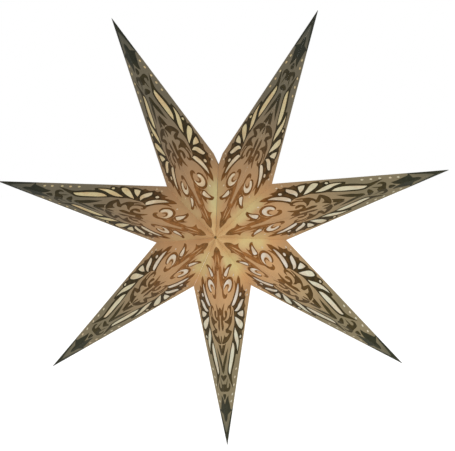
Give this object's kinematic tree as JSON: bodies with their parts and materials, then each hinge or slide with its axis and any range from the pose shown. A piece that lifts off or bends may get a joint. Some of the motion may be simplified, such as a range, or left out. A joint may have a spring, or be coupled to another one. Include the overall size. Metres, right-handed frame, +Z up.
{
  "type": "paper star lantern",
  "caption": "Folded paper star lantern with pierced, tissue-backed rays that fold up like a fan, hung on a pendant lampholder with a screw-in bulb.",
  "frame": {"origin": "centre of the top of the lampholder's neck, where the hanging cord enters", "axes": "+Z up along the hanging cord, the star's plane is XZ, its pictured front faces -Y"},
  "size_m": [0.6012, 0.1778, 0.5862],
  "materials": {
    "paper": "printed matt paper, taupe with dark olive-brown ornament",
    "card": "plain card",
    "tape": "woven hook-and-loop tape",
    "holder_plastic": "satin white moulded plastic",
    "contact_ceramic": "unglazed steatite",
    "brass": "pressed brass",
    "steel": "zinc plated",
    "solder": "dull solder",
    "insulator": "black vitreous insulator",
    "bulb_glass": "satin warm-white glass",
    "stem_glass": "clear glass stem",
    "filament": "phosphor coated filament"
  },
  "bodies": {
    "root": {"holder_cap": "holder_plastic", "cord_grip_screw": "steel", "holder_body": "holder_plastic", "contact_block": "contact_ceramic", "terminal_screw_live": "brass", "terminal_screw_neutral": "brass", "screw_shell": "brass", "centre_contact": "brass"},
    "bulb_tip": {"bulb_contact": "solder"},
    "bulb": {"bulb_cap": "brass", "bulb_insulator": "insulator", "bulb_glass": "bulb_glass", "bulb_stem": "stem_glass", "filament_1": "filament", "filament_2": "filament", "filament_3": "filament", "filament_4": "filament"},
    "ray_1_front_left": {"ray_1_front_left": "paper", "closing_tab_front_right": "card", "loop_tape_front": "tape"},
    "ray_1_front_right": {"ray_1_front_right": "paper"},
    "ray_1_back_left": {"ray_1_back_left": "paper", "closing_tab_back_right": "card", "loop_tape_back": "tape"},
    "ray_1_back_right": {"ray_1_back_right": "paper"},
    "ray_2_front_left": {"ray_2_front_left": "paper"},
    "ray_2_front_right": {"ray_2_front_right": "paper"},
    "ray_2_back_left": {"ray_2_back_left": "paper"},
    "ray_2_back_right": {"ray_2_back_right": "paper"},
    "ray_3_front_left": {"ray_3_front_left": "paper"},
    "ray_3_front_right": {"ray_3_front_right": "paper"},
    "ray_3_back_left": {"ray_3_back_left": "paper"},
    "ray_3_back_right": {"ray_3_back_right": "paper"},
    "ray_4_front_left": {"ray_4_front_left": "paper"},
    "ray_4_front_right": {"ray_4_front_right": "paper"},
    "ray_4_back_left": {"ray_4_back_left": "paper"},
    "ray_4_back_right": {"ray_4_back_right": "paper"},
    "ray_5_front_left": {"ray_5_front_left": "paper"},
    "ray_5_front_right": {"ray_5_front_right": "paper"},
    "ray_5_back_left": {"ray_5_back_left": "paper"},
    "ray_5_back_right": {"ray_5_back_right": "paper"},
    "ray_6_front_left": {"ray_6_front_left": "paper"},
    "ray_6_front_right": {"ray_6_front_right": "paper"},
    "ray_6_back_left": {"ray_6_back_left": "paper"},
    "ray_6_back_right": {"ray_6_back_right": "paper"},
    "ray_7_front_left": {"ray_7_front_left": "paper"},
    "ray_7_front_right": {"ray_7_front_right": "paper", "closing_tab_front_left": "card", "hook_tape_front": "tape"},
    "ray_7_back_left": {"ray_7_back_left": "paper"},
    "ray_7_back_right": {"ray_7_back_right": "paper", "closing_tab_back_left": "card", "hook_tape_back": "tape"}
  },
  "joints": [
    {"name": "ray_4_left_fold", "type": "hinge", "parent": "root", "child": "ray_4_front_left", "pos_m": [0, 0, -0.38791], "axis": [0, -0.2788, 0.9603], "range_deg": [0, 27.5]},
    {"name": "ray_4_right_fold", "type": "hinge", "parent": "root", "child": "ray_4_front_right", "pos_m": [0, 0, -0.38791], "axis": [0, 0.2788, -0.9603], "range_deg": [0, 27.51]},
    {"name": "seam_4_3", "type": "hinge", "parent": "ray_4_front_left", "child": "ray_3_front_right", "pos_m": [0.03905, 0, -0.159], "axis": [0.3068, 0.7071, -0.6371], "range_deg": [0, 78.11]},
    {"name": "ray_3_front_ridge", "type": "hinge", "parent": "ray_3_front_right", "child": "ray_3_front_left", "pos_m": [0.24237, 0, -0.27119], "axis": [-0.7508, -0.2788, 0.5988], "range_deg": [0, 55.01]},
    {"name": "seam_3_2", "type": "hinge", "parent": "ray_3_front_left", "child": "ray_2_front_right", "pos_m": [0.08774, 0, -0.09794], "axis": [0.6894, 0.7071, -0.1573], "range_deg": [0, 78.11]},
    {"name": "ray_2_front_ridge", "type": "hinge", "parent": "ray_2_front_right", "child": "ray_2_front_left", "pos_m": [0.30223, 0, -0.00893], "axis": [-0.9363, -0.2788, -0.2137], "range_deg": [0, 55.01]},
    {"name": "seam_2_1", "type": "hinge", "parent": "ray_2_front_left", "child": "ray_1_front_right", "pos_m": [0.07036, 0, -0.02179], "axis": [0.5528, 0.7071, 0.4409], "range_deg": [0, 78.11]},
    {"name": "ray_1_front_ridge", "type": "hinge", "parent": "ray_1_front_right", "child": "ray_1_front_left", "pos_m": [0.1345, 0, 0.20139], "axis": [-0.4167, -0.2788, -0.8652], "range_deg": [0, 55.01]},
    {"name": "seam_4_5", "type": "hinge", "parent": "ray_4_front_right", "child": "ray_5_front_left", "pos_m": [-0.03905, 0, -0.159], "axis": [0.3068, -0.7071, 0.6371], "range_deg": [0, 78.11]},
    {"name": "ray_5_front_ridge", "type": "hinge", "parent": "ray_5_front_left", "child": "ray_5_front_right", "pos_m": [-0.24237, 0, -0.27119], "axis": [-0.7508, 0.2788, -0.5988], "range_deg": [0, 55.01]},
    {"name": "seam_5_6", "type": "hinge", "parent": "ray_5_front_right", "child": "ray_6_front_left", "pos_m": [-0.08774, 0, -0.09794], "axis": [0.6894, -0.7071, 0.1573], "range_deg": [0, 78.11]},
    {"name": "ray_6_front_ridge", "type": "hinge", "parent": "ray_6_front_left", "child": "ray_6_front_right", "pos_m": [-0.30223, 0, -0.00893], "axis": [-0.9363, 0.2788, 0.2137], "range_deg": [0, 55.01]},
    {"name": "seam_6_7", "type": "hinge", "parent": "ray_6_front_right", "child": "ray_7_front_left", "pos_m": [-0.07036, 0, -0.02179], "axis": [0.5528, -0.7071, -0.4409], "range_deg": [0, 78.11]},
    {"name": "ray_7_front_ridge", "type": "hinge", "parent": "ray_7_front_left", "child": "ray_7_front_right", "pos_m": [-0.1345, 0, 0.20139], "axis": [-0.4167, 0.2788, 0.8652], "range_deg": [0, 55.01]},
    {"name": "ray_1_left_edge", "type": "hinge", "parent": "ray_1_front_left", "child": "ray_1_back_left", "pos_m": [0.1345, 0, 0.20139], "axis": [0.5792, 0, 0.8152], "range_deg": [0, 53.14]},
    {"name": "ray_1_right_edge", "type": "hinge", "parent": "ray_1_front_right", "child": "ray_1_back_right", "pos_m": [0.1345, 0, 0.20139], "axis": [-0.2762, 0, -0.9611], "range_deg": [0, 53.14]},
    {"name": "ray_2_left_edge", "type": "hinge", "parent": "ray_2_front_left", "child": "ray_2_back_left", "pos_m": [0.30223, 0, -0.00893], "axis": [0.9985, 0, 0.0554], "range_deg": [0, 53.14]},
    {"name": "ray_2_right_edge", "type": "hinge", "parent": "ray_2_front_right", "child": "ray_2_back_right", "pos_m": [0.30223, 0, -0.00893], "axis": [-0.9236, 0, -0.3833], "range_deg": [0, 53.14]},
    {"name": "ray_3_left_edge", "type": "hinge", "parent": "ray_3_front_left", "child": "ray_3_back_left", "pos_m": [0.24237, 0, -0.27119], "axis": [0.6659, 0, -0.7461], "range_deg": [0, 53.14]},
    {"name": "ray_3_right_edge", "type": "hinge", "parent": "ray_3_front_right", "child": "ray_3_back_right", "pos_m": [0.24237, 0, -0.27119], "axis": [-0.8755, 0, 0.4831], "range_deg": [0, 53.14]},
    {"name": "ray_4_left_edge", "type": "hinge", "parent": "ray_4_front_left", "child": "ray_4_back_left", "pos_m": [0, 0, -0.38791], "axis": [-0.1682, 0, -0.9858], "range_deg": [0, 53.14]},
    {"name": "ray_4_right_edge", "type": "hinge", "parent": "ray_4_front_right", "child": "ray_4_back_right", "pos_m": [0, 0, -0.38791], "axis": [-0.1682, 0, 0.9858], "range_deg": [0, 53.14]},
    {"name": "ray_5_left_edge", "type": "hinge", "parent": "ray_5_front_left", "child": "ray_5_back_left", "pos_m": [-0.24237, 0, -0.27119], "axis": [-0.8755, 0, -0.4831], "range_deg": [0, 53.14]},
    {"name": "ray_5_right_edge", "type": "hinge", "parent": "ray_5_front_right", "child": "ray_5_back_right", "pos_m": [-0.24237, 0, -0.27119], "axis": [0.6659, 0, 0.7461], "range_deg": [0, 53.14]},
    {"name": "ray_6_left_edge", "type": "hinge", "parent": "ray_6_front_left", "child": "ray_6_back_left", "pos_m": [-0.30223, 0, -0.00893], "axis": [-0.9236, 0, 0.3833], "range_deg": [0, 53.14]},
    {"name": "ray_6_right_edge", "type": "hinge", "parent": "ray_6_front_right", "child": "ray_6_back_right", "pos_m": [-0.30223, 0, -0.00893], "axis": [0.9985, 0, -0.0554], "range_deg": [0, 53.14]},
    {"name": "ray_7_left_edge", "type": "hinge", "parent": "ray_7_front_left", "child": "ray_7_back_left", "pos_m": [-0.1345, 0, 0.20139], "axis": [-0.2762, 0, 0.9611], "range_deg": [0, 53.14]},
    {"name": "ray_7_right_edge", "type": "hinge", "parent": "ray_7_front_right", "child": "ray_7_back_right", "pos_m": [-0.1345, 0, 0.20139], "axis": [0.5792, 0, -0.8152], "range_deg": [0, 53.14]},
    {"name": "bulb_travel", "type": "slide", "parent": "root", "child": "bulb_tip", "axis": [0, 0, -1], "range_m": [0, 0.012]},
    {"name": "bulb_unscrew", "type": "hinge", "parent": "bulb_tip", "child": "bulb", "pos_m": [0, 0, -0.0436], "axis": [0, 0, -1], "range_deg": [0, 1530]}
  ],
  "couplings": [
    {"joint": "ray_4_right_fold", "follows": "ray_4_left_fold", "ratio": 1},
    {"joint": "seam_4_3", "follows": "ray_4_left_fold", "ratio": 2.84},
    {"joint": "ray_3_front_ridge", "follows": "ray_4_left_fold", "ratio": 2},
    {"joint": "seam_3_2", "follows": "ray_4_left_fold", "ratio": 2.84},
    {"joint": "ray_2_front_ridge", "follows": "ray_4_left_fold", "ratio": 2},
    {"joint": "seam_2_1", "follows": "ray_4_left_fold", "ratio": 2.84},
    {"joint": "ray_1_front_ridge", "follows": "ray_4_left_fold", "ratio": 2},
    {"joint": "seam_4_5", "follows": "ray_4_left_fold", "ratio": 2.84},
    {"joint": "ray_5_front_ridge", "follows": "ray_4_left_fold", "ratio": 2},
    {"joint": "seam_5_6", "follows": "ray_4_left_fold", "ratio": 2.84},
    {"joint": "ray_6_front_ridge", "follows": "ray_4_left_fold", "ratio": 2},
    {"joint": "seam_6_7", "follows": "ray_4_left_fold", "ratio": 2.84},
    {"joint": "ray_7_front_ridge", "follows": "ray_4_left_fold", "ratio": 2},
    {"joint": "ray_1_left_edge", "follows": "ray_4_left_fold", "ratio": 1.932},
    {"joint": "ray_1_right_edge", "follows": "ray_4_left_fold", "ratio": 1.932},
    {"joint": "ray_2_left_edge", "follows": "ray_4_left_fold", "ratio": 1.932},
    {"joint": "ray_2_right_edge", "follows": "ray_4_left_fold", "ratio": 1.932},
    {"joint": "ray_3_left_edge", "follows": "ray_4_left_fold", "ratio": 1.932},
    {"joint": "ray_3_right_edge", "follows": "ray_4_left_fold", "ratio": 1.932},
    {"joint": "ray_4_left_edge", "follows": "ray_4_left_fold", "ratio": 1.932},
    {"joint": "ray_4_right_edge", "follows": "ray_4_left_fold", "ratio": 1.932},
    {"joint": "ray_5_left_edge", "follows": "ray_4_left_fold", "ratio": 1.932},
    {"joint": "ray_5_right_edge", "follows": "ray_4_left_fold", "ratio": 1.932},
    {"joint": "ray_6_left_edge", "follows": "ray_4_left_fold", "ratio": 1.932},
    {"joint": "ray_6_right_edge", "follows": "ray_4_left_fold", "ratio": 1.932},
    {"joint": "ray_7_left_edge", "follows": "ray_4_left_fold", "ratio": 1.932},
    {"joint": "ray_7_right_edge", "follows": "ray_4_left_fold", "ratio": 1.932},
    {"joint": "bulb_travel", "follows": "bulb_unscrew", "m_per_rad": 0.00044913}
  ]
}
